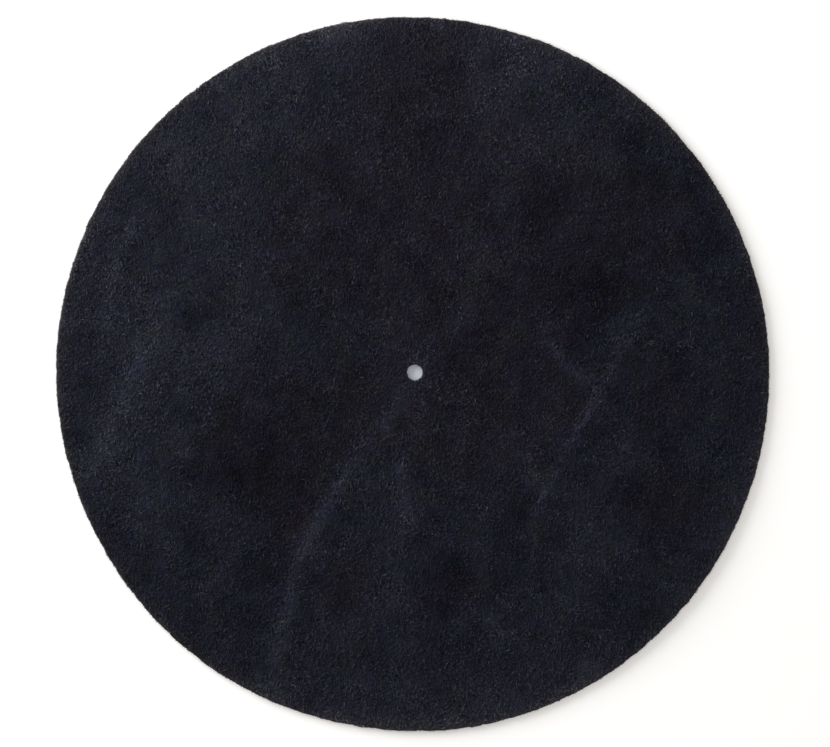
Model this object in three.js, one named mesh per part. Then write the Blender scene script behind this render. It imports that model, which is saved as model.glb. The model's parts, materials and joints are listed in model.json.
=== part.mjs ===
// A suede mat for a record player's platter. It is one disc, die-cut from a single thick hide,
// with one punched hole that drops over the spindle. The nap side is up. The mat lies relaxed on
// a flat surface: shallow creases cross it, and three stretches of the rim stand a little proud
// of the surface, while the rest of the underside lies flat.
// Millimetres, +Z up. The origin is the middle of the spindle hole, on the underside.

import * as THREE from "three";
import { mergeVertices } from "three/addons/utils/BufferGeometryUtils.js";

// The cut piece
const MAT_DIAMETER = 300;
const HIDE_THICKNESS = 3;
const SPINDLE_HOLE_DIAMETER = 7.2;

// Radii of the cut edges. The nap side is softer than the side that lay on the cutting board.
const RIM_NAP_ROUND = 0.8;
const RIM_BACK_ROUND = 0.4;
const HOLE_NAP_ROUND = 0.5;
const HOLE_BACK_ROUND = 0.2;

// The hide gives under the die, so the outline drifts in and out of a true circle. Each drift
// has this many lobes round the rim, this depth, and its first crest at this bearing in degrees.
const OUTLINE_DRIFTS = [
  { lobes: 3, depth: 0.19, crest: 32 },
  { lobes: 4, depth: 0.07, crest: 41 },
  { lobes: 6, depth: 0.1, crest: 51 },
  { lobes: 8, depth: 0.06, crest: 8 },
];

// Creases in the hide. Each runs through its stations, [share of the mat's radius, bearing in
// degrees], rises to its height halfway along and spreads this far to each side.
const CREASES = {
  frontLeft: { stations: [[0.2, 230], [0.56, 237], [1.06, 245]], height: 0.75, spread: 13 },
  front: { stations: [[0.16, 252], [0.34, 266], [0.62, 269]], height: 0.5, spread: 11 },
  right: { stations: [[0.7, 16], [0.53, 356], [0.6, 304]], height: 0.6, spread: 12 },
  rightBranch: { stations: [[0.36, 26], [0.42, 8], [0.52, 356]], height: 0.4, spread: 10 },
  left: { stations: [[0.7, 172], [0.87, 189], [1.02, 200]], height: 0.6, spread: 12 },
};

// Stretches of the rim that stand off the surface, by their middle bearing and half their
// width in degrees. Each starts this far in from the rim and rises to its height at the rim.
const RIM_LIFTS = {
  backLeft: { middle: 138, halfWidth: 34, height: 0.9, reach: 46 },
  left: { middle: 205, halfWidth: 20, height: 0.5, reach: 30 },
  frontRight: { middle: 322, halfWidth: 30, height: 0.8, reach: 40 },
};

// How finely the curved hide is faceted
const SECTORS = 120;
const FACE_RINGS = 18;
const ROUND_STEPS = 1;
const CREASE_SAMPLES = 48;

const rimRadius = MAT_DIAMETER / 2;
const holeRadius = SPINDLE_HOLE_DIAMETER / 2;

// 1 at the middle, falling smoothly to exactly 0 at a distance of 1 and staying there
function swell(distance) {
  const inside = Math.max(0, 1 - distance * distance);
  return inside * inside;
}

// A point of the mat by its share of the radius and its bearing
function station([share, bearing]) {
  const angle = THREE.MathUtils.degToRad(bearing);
  return new THREE.Vector2(Math.cos(angle), Math.sin(angle)).multiplyScalar(share * rimRadius);
}

// The rim's true radius at a bearing, with the die's drift
function outlineRadius(angle) {
  return OUTLINE_DRIFTS.reduce((radius, { lobes, depth, crest }) => {
    return radius + depth * Math.cos(lobes * (angle - THREE.MathUtils.degToRad(crest)));
  }, rimRadius);
}

// How far one crease raises the hide at a point
function makeCreaseLift({ stations, height, spread }) {
  const path = new THREE.SplineCurve(stations.map(station)).getSpacedPoints(CREASE_SAMPLES);
  return (point) => {
    const gaps = path.map((sample) => sample.distanceTo(point));
    const gap = Math.min(...gaps);
    const along = gaps.indexOf(gap) / CREASE_SAMPLES;
    return height * swell(gap / spread) * Math.sin(Math.PI * along);
  };
}

// How far one lifted stretch of the rim raises the hide at a point
function makeRimLift({ middle, halfWidth, height, reach }) {
  const centre = THREE.MathUtils.degToRad(middle);
  const half = THREE.MathUtils.degToRad(halfWidth);
  return (point) => {
    const turn = point.angle() - centre;
    const aside = Math.abs(Math.atan2(Math.sin(turn), Math.cos(turn)));
    const inward = THREE.MathUtils.clamp((rimRadius - point.length()) / reach, 0, 1);
    return height * swell(aside / half) * (1 - inward) ** 2;
  };
}

const lifts = [
  ...Object.values(CREASES).map(makeCreaseLift),
  ...Object.values(RIM_LIFTS).map(makeRimLift),
];

// Height of the underside over the flat surface that the mat lies on
function liftAt(point) {
  return lifts.reduce((sum, lift) => sum + lift(point), 0);
}

// A straight run of the section across one face, in as many steps as the face has rings
function runAcross(section, fromRadius, toRadius, height) {
  for (let ring = 1; ring <= FACE_RINGS; ring++) {
    section.lineTo(THREE.MathUtils.lerp(fromRadius, toRadius, ring / FACE_RINGS), height);
  }
}

// The hide's section from the hole to the rim, as a closed loop of (radius, height)
function makeSection() {
  const quarter = Math.PI / 2;
  const backInner = holeRadius + HOLE_BACK_ROUND;
  const backOuter = rimRadius - RIM_BACK_ROUND;
  const napInner = holeRadius + HOLE_NAP_ROUND;
  const napOuter = rimRadius - RIM_NAP_ROUND;
  const napRim = HIDE_THICKNESS - RIM_NAP_ROUND;
  const napHole = HIDE_THICKNESS - HOLE_NAP_ROUND;
  const section = new THREE.Path();
  section.moveTo(backInner, 0);
  runAcross(section, backInner, backOuter, 0);
  section.absarc(backOuter, RIM_BACK_ROUND, RIM_BACK_ROUND, -quarter, 0);
  section.lineTo(rimRadius, napRim);
  section.absarc(napOuter, napRim, RIM_NAP_ROUND, 0, quarter);
  runAcross(section, napOuter, napInner, HIDE_THICKNESS);
  section.absarc(napInner, napHole, HOLE_NAP_ROUND, quarter, 2 * quarter);
  section.lineTo(holeRadius, HOLE_BACK_ROUND);
  section.absarc(backInner, HOLE_BACK_ROUND, HOLE_BACK_ROUND, 2 * quarter, 3 * quarter);
  return section.getPoints(ROUND_STEPS);
}

// The flat disc: the section turned once round the spindle axis, as one closed surface
function makeFlatDisc() {
  const disc = new THREE.LatheGeometry(makeSection(), SECTORS);
  disc.rotateX(Math.PI / 2);
  disc.deleteAttribute("normal");
  disc.deleteAttribute("uv");
  return mergeVertices(disc);
}

// The disc as it lies: its rim drawn out to the drifting outline, and the hide raised by its
// creases and lifted rim. Both faces rise together, so the hide keeps its thickness.
function relax(disc) {
  const places = disc.getAttribute("position");
  for (let i = 0; i < places.count; i++) {
    const plan = new THREE.Vector2(places.getX(i), places.getY(i));
    const outward = (plan.length() - holeRadius) / (rimRadius - holeRadius);
    const drift = (outlineRadius(plan.angle()) - rimRadius) * outward;
    plan.setLength(plan.length() + drift);
    places.setXYZ(i, plan.x, plan.y, places.getZ(i) + liftAt(plan));
  }
  disc.computeVertexNormals();
  return disc;
}

function makePlatterMat() {
  const suede = new THREE.MeshStandardMaterial({ color: 0x1c1d24, roughness: 0.95, metalness: 0 });
  const mat = new THREE.Mesh(relax(makeFlatDisc()), suede);
  mat.name = "platter_mat";
  return mat;
}

const turntableMat = new THREE.Group();
turntableMat.add(makePlatterMat());

export default turntableMat;
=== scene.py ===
import json
import math

import bpy
import numpy as np
from mathutils import Matrix, Vector


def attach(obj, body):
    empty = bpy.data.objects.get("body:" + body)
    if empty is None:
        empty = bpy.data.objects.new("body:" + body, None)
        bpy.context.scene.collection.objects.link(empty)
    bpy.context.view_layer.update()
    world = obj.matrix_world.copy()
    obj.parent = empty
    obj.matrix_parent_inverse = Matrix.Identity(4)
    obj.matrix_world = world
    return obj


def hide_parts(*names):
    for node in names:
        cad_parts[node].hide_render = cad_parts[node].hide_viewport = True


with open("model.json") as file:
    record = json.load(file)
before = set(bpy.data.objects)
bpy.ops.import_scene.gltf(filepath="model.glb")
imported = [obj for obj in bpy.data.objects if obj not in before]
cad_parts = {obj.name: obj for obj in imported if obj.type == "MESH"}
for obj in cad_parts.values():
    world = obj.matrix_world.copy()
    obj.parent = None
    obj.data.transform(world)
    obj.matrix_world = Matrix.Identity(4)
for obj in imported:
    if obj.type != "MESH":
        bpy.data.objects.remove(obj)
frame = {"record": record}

bl_info = {
    "name": "Suede Platter Mat",
    "version": (1, 0, 0),
    "blender": (4, 5, 0),
    "location": "3D View > Sidebar > Platter Mat",
    "description": "The looks of a suede mat for a record player's platter: hide, nap and fringes",
    "category": "Add Mesh",
}

MM = 0.001
NODE = "platter_mat"
BODY = "root"
FACE_HEIGHT = next(m["pos_m"][2] for m in frame["record"]["mounts"] if m["name"] == "record_face")

# The photograph's width, and how far to the right and to the back of the hole the camera aims,
# all in its pixels
PHOTO_WIDTH = 830
AIM_ASIDE = (-0.05, -1.24)

# The outline drifts in and out of a true circle: lobes round the rim, depth in mm, and the
# bearing of the first crest in degrees.
OUTLINE_DRIFTS = (
    {"lobes": 3, "depth": 0.19, "crest": 32},
    {"lobes": 4, "depth": 0.07, "crest": 41},
    {"lobes": 6, "depth": 0.1, "crest": 51},
    {"lobes": 8, "depth": 0.06, "crest": 8},
)

# Broad creases: stations as [share of the radius, bearing in degrees], height and spread in mm
CREASES = {
    "front_left": {"stations": ((0.2, 230), (0.56, 237), (1.06, 245)),
                   "height": 0.75, "spread": 13},
    "front": {"stations": ((0.16, 252), (0.34, 266), (0.62, 269)), "height": 0.5, "spread": 11},
    "right": {"stations": ((0.7, 16), (0.53, 356), (0.6, 304)), "height": 0.6, "spread": 12},
    "right_branch": {"stations": ((0.36, 26), (0.42, 8), (0.52, 356)), "height": 0.4, "spread": 10},
    "left": {"stations": ((0.7, 172), (0.87, 189), (1.02, 200)), "height": 0.6, "spread": 12},
}

# Stretches of the rim that stand off the surface: bearings in degrees, lengths in mm
RIM_LIFTS = {
    "back_left": {"middle": 138, "half_width": 34, "height": 0.9, "reach": 46},
    "left": {"middle": 205, "half_width": 20, "height": 0.5, "reach": 30},
    "front_right": {"middle": 322, "half_width": 30, "height": 0.8, "reach": 40},
}

# Clouds of random values that break up what is drawn on the hide: the size of their patches in
# mm, how many layers of finer and finer patches they have, their random seed, and how much they
# change a value. A stray moves what is drawn aside, by as many mm as its amount.
TONE_CLOUDS = (
    {"patch": 30, "layers": 2, "seed": 43, "amount": 0.08},
    {"patch": 9, "layers": 3, "seed": 44, "amount": 0.12},
    {"patch": 2.6, "layers": 2, "seed": 45, "amount": 0.14},
)
TONE_STREAKS = {"patch": 7, "layers": 3, "seed": 46, "amount": 0.11}
TONE_STRAY = {"patch": 12, "layers": 3, "seed": 41, "amount": 4.5}
UMBER_CLOUDS = {"patch": 10, "layers": 3, "seed": 53, "amount": 0.22}
UMBER_STRAY = {"patch": 13, "layers": 3, "seed": 51, "amount": 6}
RIDGE_CLOUDS = {"patch": 7, "layers": 3, "seed": 31, "amount": 0.32}
RIDGE_STRAY = {"patch": 9, "layers": 2, "seed": 33, "amount": 1.1}

# The ragged outline and its depth in mm, the grain of the cut edge as a share of the rim's
# allowance, and the pebbling as a share of its height
RAGGED_RIM = {"patch": 3.2, "layers": 3, "seed": 21, "amount": 0.21}
EDGE_GRAIN = {"patch": 0.6, "layers": 2, "seed": 61, "amount": 0.5}
PEBBLES = {"patch": 5, "layers": 3, "seed": 62, "amount": 1}

# The way that the nap was brushed, in degrees anticlockwise from the right, and how many times
# longer than wide the streaks along it are
BRUSHED_BEARING = 70
STREAK_STRETCH = 3.2

# Where the nap grows paler towards the rim, first the broad bloom and then the frayed edge: how
# much, how far in from the rim in mm, how far that swings on the way round, how many times, and
# the bearing in degrees where it is strongest.
RIM_BLOOMS = (
    {"pale": 0.42, "reach": 6, "swing": 0.45, "times": 2, "strongest": 90},
    {"pale": 0.62, "reach": 1.5, "swing": 0.5, "times": 1, "strongest": 20},
)

# How the tone changes from the middle to the rim, towards the right and towards the back, a painted
# light and shade that is paler on the lamp's side, to the left and the back, and darker away from
# it, and the limits that it keeps to before that and before the blooms
PAINTED_LIGHT_LEAN = (-0.06, 0.036)
TONE_LIMITS = (0.35, 2)

# How strongly the patches show, and the sums of them at which the dye starts and ends its turn
# from navy to umber
TONE_PATCH_SHARE = 1.08
UMBER_PATCH_SHARE = 1.1
UMBER_TURN = (1 / 3, 2 / 3)

# A ridge's painted paleness, partly rubbed nap and partly a painted highlight, at its ends as a
# share of its full paleness, how fast it grows from there, and how fast the umber fades under it
RIDGE_END = 0.25
RIDGE_GROWTH = 4
UMBER_LOSS = 1.5

# How far in from the rim the greyer dye of the cut edge reaches, in mm
CUT_EDGE_REACH = 2.6

# Ridges where the hide has been folded, painted pale partly as rubbed nap and partly as a painted
# highlight along their crests: points in mm from the hole, the width of the soft line in mm, and
# how pale it is.
RUBBED_AND_LIT_RIDGES = {
    "front_left": {"points": ((-24, -32), (-33, -50), (-45, -72), (-56, -105), (-59, -128)),
                   "width": 3.2, "pale": 0.92},
    "front": {"points": ((-6, -32), (-4, -49), (-2, -70)), "width": 3.1, "pale": 0.4},
    "hub": {"points": ((25, 27), (12, 15), (2, 2), (-6, -12), (-22, -36)),
            "width": 4.6, "pale": 0.4},
    "right": {"points": ((95, 23), (80, -4), (67, -28), (55, -49), (49, -67)),
              "width": 2.5, "pale": 0.54},
    "right_branch": {"points": ((52, 25), (57, 13), (64, 4), (76, -4)), "width": 2.4, "pale": 0.4},
    "left": {"points": ((-109, 30), (-114, 8), (-121, -10), (-130, -28), (-139, -43)),
             "width": 4.8, "pale": 0.57},
    "left_upper": {"points": ((-115, 66), (-125, 47), (-130, 17)), "width": 2.8, "pale": 0.38},
    "left_inner": {"points": ((-101, 40), (-106, 7)), "width": 3.5, "pale": 0.2},
    "lower_left": {"points": ((-72, -66), (-81, -84), (-92, -97)), "width": 4, "pale": 0.4},
    "lower_middle": {"points": ((22, -99), (33, -104), (44, -112)), "width": 3.2, "pale": 0.3},
    "lower_right": {"points": ((84, -28), (92, -33), (100, -38)), "width": 4, "pale": 0.36},
}

# Soft patches where the nap lies darker or paler: (x, y, reach) in mm from the hole, and the
# change of tone.
DARK_PATCHES = (
    (78, 37, 17, -0.42), (54, 70, 14, -0.26), (50, 43, 10, -0.24), (18, 8, 11, -0.26),
    (-70, -40, 19, -0.54), (-46, -16, 16, -0.28), (14, -86, 13, -0.36), (34, -86, 11, -0.24),
    (102, -54, 17, -0.34), (101, -74, 10, -0.22), (110, -4, 13, -0.32), (99, -24, 9, -0.25),
    (98, 85, 17, -0.5), (122, 48, 11, -0.32), (-2, 99, 13, -0.22), (122, 80, 9, -0.2),
    (-34, 86, 12, -0.3), (-14, 66, 10, -0.22), (-31, 46, 11, -0.26), (-44, 30, 12, -0.24),
    (-66, -84, 15, -0.28), (-112, -88, 12, -0.2), (-84, -92, 9, -0.22), (-98, -112, 12, -0.28),
    (94, -97, 14, -0.18), (-26, -124, 12, -0.24), (64, -34, 10, -0.34), (38, -10, 13, -0.2),
    (94, 46, 16, -0.18), (-60, -106, 12, -0.24), (-108, 66, 9, -0.4), (-27, -88, 12, -0.24),
    (-46, -56, 11, -0.28), (40, -72, 12, -0.2), (48, -50, 12, -0.22), (-102, -38, 9, -0.24),
    (-88, -70, 10, -0.3), (20, -112, 11, -0.14), (6, 37, 12, -0.28), (-78, -10, 12, -0.16),
    (-93, 25, 9, -0.3), (-139, 4, 9, -0.13), (-143, -28, 10, -0.36), (-128, -72, 11, -0.32),
    (-112, 102, 9, -0.3), (-72, 132, 7, -0.22), (73, 46, 7, -0.14), (142, 28, 12, -0.18),
    (-54, 20, 8, -0.12), (114, -60, 8, -0.16), (60, -82, 9, -0.22), (-50, -139, 9, -0.2),
    (-66, 86, 8, -0.16), (118, 65, 8, -0.2), (87, -62, 8, -0.18), (-88, -121, 10, -0.4),
)
PALE_PATCHES = (
    (-58, 127, 9, 0.5), (-70, 114, 10, 0.3), (-103, 90, 10, 0.5), (-88, 74, 24, 0.21),
    (-70, 43, 9, 0.34), (-73, 16, 16, 0.31), (44, 132, 15, 0.5), (40, 92, 14, 0.38),
    (32, 116, 10, 0.2), (-40, -74, 9, 0.38), (70, -70, 13, 0.4), (92, -76, 8, 0.36),
    (27, -58, 14, 0.14), (36, -107, 9, 0.22), (-25, -137, 14, 0.32), (26, -138, 15, 0.24),
    (66, -132, 12, 0.28), (-34, 139, 12, 0.5), (-111, -64, 9, 0.38), (27, 46, 16, 0.24),
    (-114, -44, 14, 0.18), (88, -37, 10, 0.22), (-36, -92, 8, 0.18), (54, -42, 7, 0.44),
    (-12, -94, 9, 0.28), (-76, 104, 12, 0.12), (-50, 98, 12, 0.34), (64, 99, 13, 0.26),
    (-53, -128, 8, 0.24), (-116, 64, 9, 0.4), (-114, 43, 10, 0.16), (-88, 50, 10, 0.26),
    (-96, 6, 12, 0.34), (-134, 16, 9, 0.36), (-114, -12, 10, 0.36), (-131, -34, 12, 0.46),
    (-14, 106, 8, 0.12), (-78, -63, 7, 0.26), (3, 102, 8, 0.2), (-70, -22, 9, 0.14),
    (92, 87, 9, 0.28), (88, 42, 8, 0.2), (108, 64, 7, 0.22), (70, -90, 9, 0.24),
    (130, -58, 9, 0.26), (104, -5, 9, 0.16), (-10, 14, 8, 0.26), (-8, -60, 8, 0.18),
    (122, 38, 8, 0.33), (-14, 54, 8, 0.24), (-5, -77, 8, 0.24), (-96, -27, 9, 0.26),
    (-103, 30, 7, 0.3), (78, -4, 9, 0.26), (58, 121, 9, 0.28), (134, 55, 7, 0.23),
    (106, -91, 8, 0.26), (-146, -18, 7, 0.3), (-3, -141, 9, 0.2), (76, -43, 6, 0.24),
    (-30, -112, 9, 0.22), (-30, 38, 8, 0.22), (-106, -51, 8, 0.16), (-14, 93, 8, 0.22),
    (-5, 135, 9, 0.18), (27, 143, 7, 0.3), (135, 2, 8, 0.24), (145, -34, 9, 0.12),
    (-17, -47, 8, 0.22), (-140, 47, 9, 0.35), (-86, -104, 8, 0.16), (60, 51, 7, 0.16),
)
# Where the dye has turned from navy towards umber: (x, y, reach) in mm from the hole
UMBER_PATCHES = (
    (8, 128, 20), (-4, 98, 36), (20, 60, 40), (-34, 56, 30), (66, 56, 36), (98, 66, 18),
    (28, 10, 34), (16, -24, 28), (44, -16, 18), (-70, -34, 24), (-40, -16, 22), (-52, -56, 14),
    (-30, -88, 13), (103, -54, 18), (104, -10, 13), (14, -90, 12),
)


class MatCut(bpy.types.PropertyGroup):
    """The die-cut hide"""

    diameter: bpy.props.FloatProperty(
        name="Diameter", description="Across the cut disc", default=0.3, unit="LENGTH")
    thickness: bpy.props.FloatProperty(
        name="Thickness", description="From the underside to the tips of the nap",
        default=FACE_HEIGHT, unit="LENGTH")
    hole_diameter: bpy.props.FloatProperty(
        name="Hole", description="Across the punched spindle hole", default=0.0072, unit="LENGTH")
    rim_nap_round: bpy.props.FloatProperty(
        name="Rim Rounding, Nap Side", description="Radius of the rim's upper edge",
        default=0.0008, unit="LENGTH")
    rim_back_round: bpy.props.FloatProperty(
        name="Rim Rounding, Back", description="Radius of the rim's lower edge",
        default=0.0004, unit="LENGTH")
    hole_nap_round: bpy.props.FloatProperty(
        name="Hole Rounding, Nap Side", description="Radius of the hole's upper edge",
        default=0.0005, unit="LENGTH")
    hole_back_round: bpy.props.FloatProperty(
        name="Hole Rounding, Back", description="Radius of the hole's lower edge",
        default=0.0002, unit="LENGTH")
    nap_depth: bpy.props.FloatProperty(
        name="Nap Depth", description="From the tips of the nap down to the hide",
        default=0.00035, unit="LENGTH")
    rim_allowance: bpy.props.FloatProperty(
        name="Rim Allowance", description="How far the rim's fringe stands out of the hide",
        default=0.00014, unit="LENGTH")
    pebble: bpy.props.FloatProperty(
        name="Pebble", description="Height of the soft pebbling of the hide",
        default=0.00009, unit="LENGTH")
    nap_mesh: bpy.props.FloatProperty(
        name="Nap Side Mesh", description="Spacing of the mesh on the nap side",
        default=0.00135, unit="LENGTH")
    back_mesh: bpy.props.FloatProperty(
        name="Back Mesh", description="Spacing of the mesh on the underside",
        default=0.0027, unit="LENGTH")
    edge_mesh: bpy.props.FloatProperty(
        name="Edge Mesh", description="Spacing of the mesh on the cut edges",
        default=0.001, unit="LENGTH")


class MatNap(bpy.types.PropertyGroup):
    """The brushed fibres on the hide and round its cut edges"""

    fibre_width: bpy.props.FloatProperty(
        name="Wisp Width", description="Width of a usual wisp of fibres at its middle",
        default=0.00058, unit="LENGTH")
    fibre_length: bpy.props.FloatProperty(
        name="Wisp Length", description="Length of a usual wisp of fibres",
        default=0.0016, unit="LENGTH")
    steepest: bpy.props.FloatProperty(
        name="Steepest Wisp", description="How steeply a wisp may stand",
        default=math.radians(42), unit="ROTATION")
    flattest: bpy.props.FloatProperty(
        name="Flattest Wisp", description="How flat a wisp may lie",
        default=math.radians(8), unit="ROTATION")
    fringe_length: bpy.props.FloatProperty(
        name="Fringe Length", description="How far the longest fibres stand out of a cut edge",
        default=0.00095, unit="LENGTH")
    # Painted shade: each wisp's root, down in the nap, is painted darker than its tip
    root_painted_shade: bpy.props.FloatProperty(
        name="Root Shade", description="Brightness of a wisp at its root, as a share of its tip",
        default=0.46, min=0, max=1)
    tallest: bpy.props.FloatProperty(
        name="Tallest Wisp", description="How far a wisp may stand over its root",
        default=0.0008, unit="LENGTH")


class MatDye(bpy.types.PropertyGroup):
    """The dye of the suede, with the painted shade of the hide between the wisps and the grey of
    its palest tips, partly a painted highlight
    """

    navy: bpy.props.FloatVectorProperty(
        name="Navy", description="The tips of the nap where the dye is bluest",
        subtype="COLOR", size=3, min=0, max=1, default=(0.0227, 0.0242, 0.0369))
    umber: bpy.props.FloatVectorProperty(
        name="Umber", description="The tips of the nap where the dye is warmer",
        subtype="COLOR", size=3, min=0, max=1, default=(0.0245, 0.0226, 0.0332))
    # Partly a painted highlight: the palest nap turns to this grey, as rubbed fibres and as a
    # highlight
    tips: bpy.props.FloatVectorProperty(
        name="Rubbed Tips", description="The palest, most rubbed tips of the nap", subtype="COLOR",
        size=3, min=0, max=1, default=(0.0247, 0.0253, 0.0319))
    cut_edge: bpy.props.FloatVectorProperty(
        name="Cut Edge", description="The greyer dye along the cut rim", subtype="COLOR",
        size=3, min=0, max=1, default=(0.0255, 0.0236, 0.0278))
    cast: bpy.props.FloatVectorProperty(
        name="Cast", description="How far the red, green and blue of the dye drift apart",
        size=3, min=0, max=2, default=(0.0, 0.8, 0.95))
    # Painted shade: the hide between the wisps is painted darker than they are
    hide_painted_shade: bpy.props.FloatProperty(
        name="Hide Shade", description="Brightness of the hide between the wisps",
        default=0.66, min=0, max=1)


class MatStudio(bpy.types.PropertyGroup):
    """The floor, the light and the camera"""

    floor_colour: bpy.props.FloatVectorProperty(
        name="Floor", description="The floor's colour", subtype="COLOR", size=3,
        min=0, max=1, default=(0.94, 0.95, 0.965))
    floor_glow: bpy.props.FloatVectorProperty(
        name="Floor Glow",
        description="Added to the floor's colour as it is seen, not as it lights",
        subtype="COLOR", size=3, min=0, max=1, default=(0.285, 0.262, 0.232))
    # Painted light: a faint blue glow on the floor in the hole, standing in for light from the navy
    # bore
    hole_bounce_glow: bpy.props.FloatVectorProperty(
        name="Hole Glow", description="Added to the floor's colour as it is seen in the hole",
        subtype="COLOR", size=3, min=0, max=1, default=(0.028, 0.038, 0.062))
    sky_level: bpy.props.FloatProperty(
        name="Sky Level", description="White light from all round", default=0.495, min=0, max=1)
    key_level: bpy.props.FloatProperty(
        name="Key Level", description="Light from the lamp on a level surface at the mat",
        default=0.505, min=0, max=1)
    key_bearing: bpy.props.FloatProperty(
        name="Key Bearing", description="Where the lamp stands, from the right anticlockwise",
        default=math.radians(151), unit="ROTATION")
    key_elevation: bpy.props.FloatProperty(
        name="Key Elevation", description="How high the lamp stands",
        default=math.radians(18.5), unit="ROTATION")
    key_distance: bpy.props.FloatProperty(
        name="Key Distance", description="From the mat to the lamp", default=1.2, unit="LENGTH")
    key_size: bpy.props.FloatProperty(
        name="Key Size", description="Across the round lamp", default=1.25, unit="LENGTH")
    camera_distance: bpy.props.FloatProperty(
        name="Camera Distance", description="From the mat to the lens", default=2.232,
        unit="LENGTH")
    camera_lean: bpy.props.FloatProperty(
        name="Camera Lean", description="How far the camera leans off the spindle's axis",
        default=math.radians(5.7), unit="ROTATION")
    camera_bearing: bpy.props.FloatProperty(
        name="Camera Bearing", description="Which way the camera leans, from the right",
        default=math.radians(213), unit="ROTATION")
    view_width: bpy.props.FloatProperty(
        name="View Width", description="What the picture spans at the mat", default=0.3477,
        unit="LENGTH")


GROUPS = {"platter_cut": MatCut, "platter_nap": MatNap, "platter_dye": MatDye,
          "platter_studio": MatStudio}


class Shade:
    """A number that varies over a surface. Arithmetic on it adds Math nodes."""

    def __init__(self, nodes, socket):
        self.nodes = nodes
        self.socket = socket

    def maths(self, operation, *values):
        node = self.nodes.add("ShaderNodeMath", {"operation": operation}, dict(enumerate(values)))
        return Shade(self.nodes, node.outputs[0])

    def __add__(self, other):
        return self.maths("ADD", self, other)

    def __sub__(self, other):
        return self.maths("SUBTRACT", self, other)

    def __rsub__(self, other):
        return self.maths("SUBTRACT", other, self)

    def __mul__(self, other):
        return self.maths("MULTIPLY", self, other)

    def __pow__(self, other):
        return self.maths("POWER", self, other)

    def __abs__(self):
        return self.maths("ABSOLUTE", self)

    __radd__ = __add__
    __rmul__ = __mul__

    def clamped(self, low=0.0, high=1.0):
        node = self.nodes.add("ShaderNodeClamp", {}, {"Value": self, "Min": low, "Max": high})
        return Shade(self.nodes, node.outputs[0])

    def rising(self, start, stop):
        """0 up to the start, 1 from the stop on"""
        return ((self - start) * (1 / (stop - start))).clamped()


class Nodes:
    """The nodes of one material or world, added one at a time"""

    # A Mix node's setting for colours, and the places of its two colours and of what it gives
    MIX_COLOURS = {"data_type": "RGBA"}
    MIX_A, MIX_B, MIX_RESULT = 6, 7, 2

    def __init__(self, owner):
        owner.use_nodes = True
        self.tree = owner.node_tree
        self.tree.nodes.clear()

    def add(self, kind, settings, sockets):
        """One node of a type: its settings first, and then the values or links of its sockets"""
        node = self.tree.nodes.new(kind)
        for name, value in settings.items():
            setattr(node, name, value)
        for name, value in sockets.items():
            source = getattr(value, "socket", value)
            if isinstance(source, bpy.types.NodeSocket):
                self.tree.links.new(source, node.inputs[name])
            else:
                node.inputs[name].default_value = source
        return node

    def field(self, name):
        """A value that the mesh holds at each of its points"""
        node = self.add("ShaderNodeAttribute", {"attribute_name": name}, {})
        return Shade(self, node.outputs["Fac"])

    def clouds(self, patch, detail=2.0, roughness=0.5, distortion=0.0):
        """The outputs of smooth noise whose patches are about this many metres across"""
        place = self.add("ShaderNodeTexCoord", {}, {}).outputs["Object"]
        return self.add("ShaderNodeTexNoise", {"noise_dimensions": "3D"}, {
            "Vector": place, "Scale": 1 / patch, "Detail": detail, "Roughness": roughness,
            "Distortion": distortion}).outputs

    def noise(self, **shape):
        """Smooth noise from 0 to 1"""
        return Shade(self, self.clouds(**shape)[0])

    def drifting(self, **shape):
        """Smooth noise whose three channels drift apart"""
        return self.clouds(**shape)["Color"]

    def mixed(self, factor, first, second):
        """A colour between two colours"""
        sockets = {0: factor, self.MIX_A: first, self.MIX_B: second}
        return self.add("ShaderNodeMix", self.MIX_COLOURS, sockets).outputs[self.MIX_RESULT]

    def scaled(self, colour, share):
        """A colour times a number"""
        settings = {"operation": "SCALE"}
        return self.add("ShaderNodeVectorMath", settings, {0: colour, "Scale": share}).outputs[0]


def swell(distance):
    """1 at the middle, falling smoothly to 0 at a distance of 1 and staying there"""
    return np.clip(1 - distance * distance, 0, None) ** 2


def turned(angle):
    """An angle brought between minus and plus half a turn"""
    return np.arctan2(np.sin(angle), np.cos(angle))


# How many steps a curve is traced in between two of its points
CURVE_STEPS = 60


def curve_through(points, samples):
    """Evenly spaced samples of the Catmull-Rom curve through some points"""
    points = np.asarray(points, float)
    ends = np.vstack([points[0], points, points[-1]])
    fine = []
    for before, start, stop, after in zip(ends, ends[1:], ends[2:], ends[3:]):
        t = np.linspace(0, 1, CURVE_STEPS)[:, None]
        leaving = (stop - before) / 2
        arriving = (after - start) / 2
        cubic = 2 * start - 2 * stop + leaving + arriving
        square = 3 * stop - 3 * start - 2 * leaving - arriving
        fine.append(cubic * t**3 + square * t**2 + leaving * t + start)
    fine = np.vstack(fine)
    steps = np.r_[0, np.cumsum(np.linalg.norm(np.diff(fine, axis=0), axis=1))]
    even = np.linspace(0, steps[-1], samples)
    return np.column_stack([np.interp(even, steps, fine[:, axis]) for axis in range(2)])


def nearest_on(path, x, y):
    """Each point's distance from a path, and how far along it the nearest sample is, 0 to 1"""
    gap = np.full(len(x), np.inf)
    along = np.zeros(len(x))
    for index, (path_x, path_y) in enumerate(path):
        here = np.hypot(x - path_x, y - path_y)
        nearer = here < gap
        gap[nearer] = here[nearer]
        along[nearer] = index / (len(path) - 1)
    return gap, along


# Clouds cover the mat as far as this from the hole to each side, in metres, with this many cells
# to spare, and the seeds of their layers follow one another from each this far apart
CLOUD_REACH = 0.25
SPARE_CELLS = 4
SEED_STEP = 16


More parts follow.
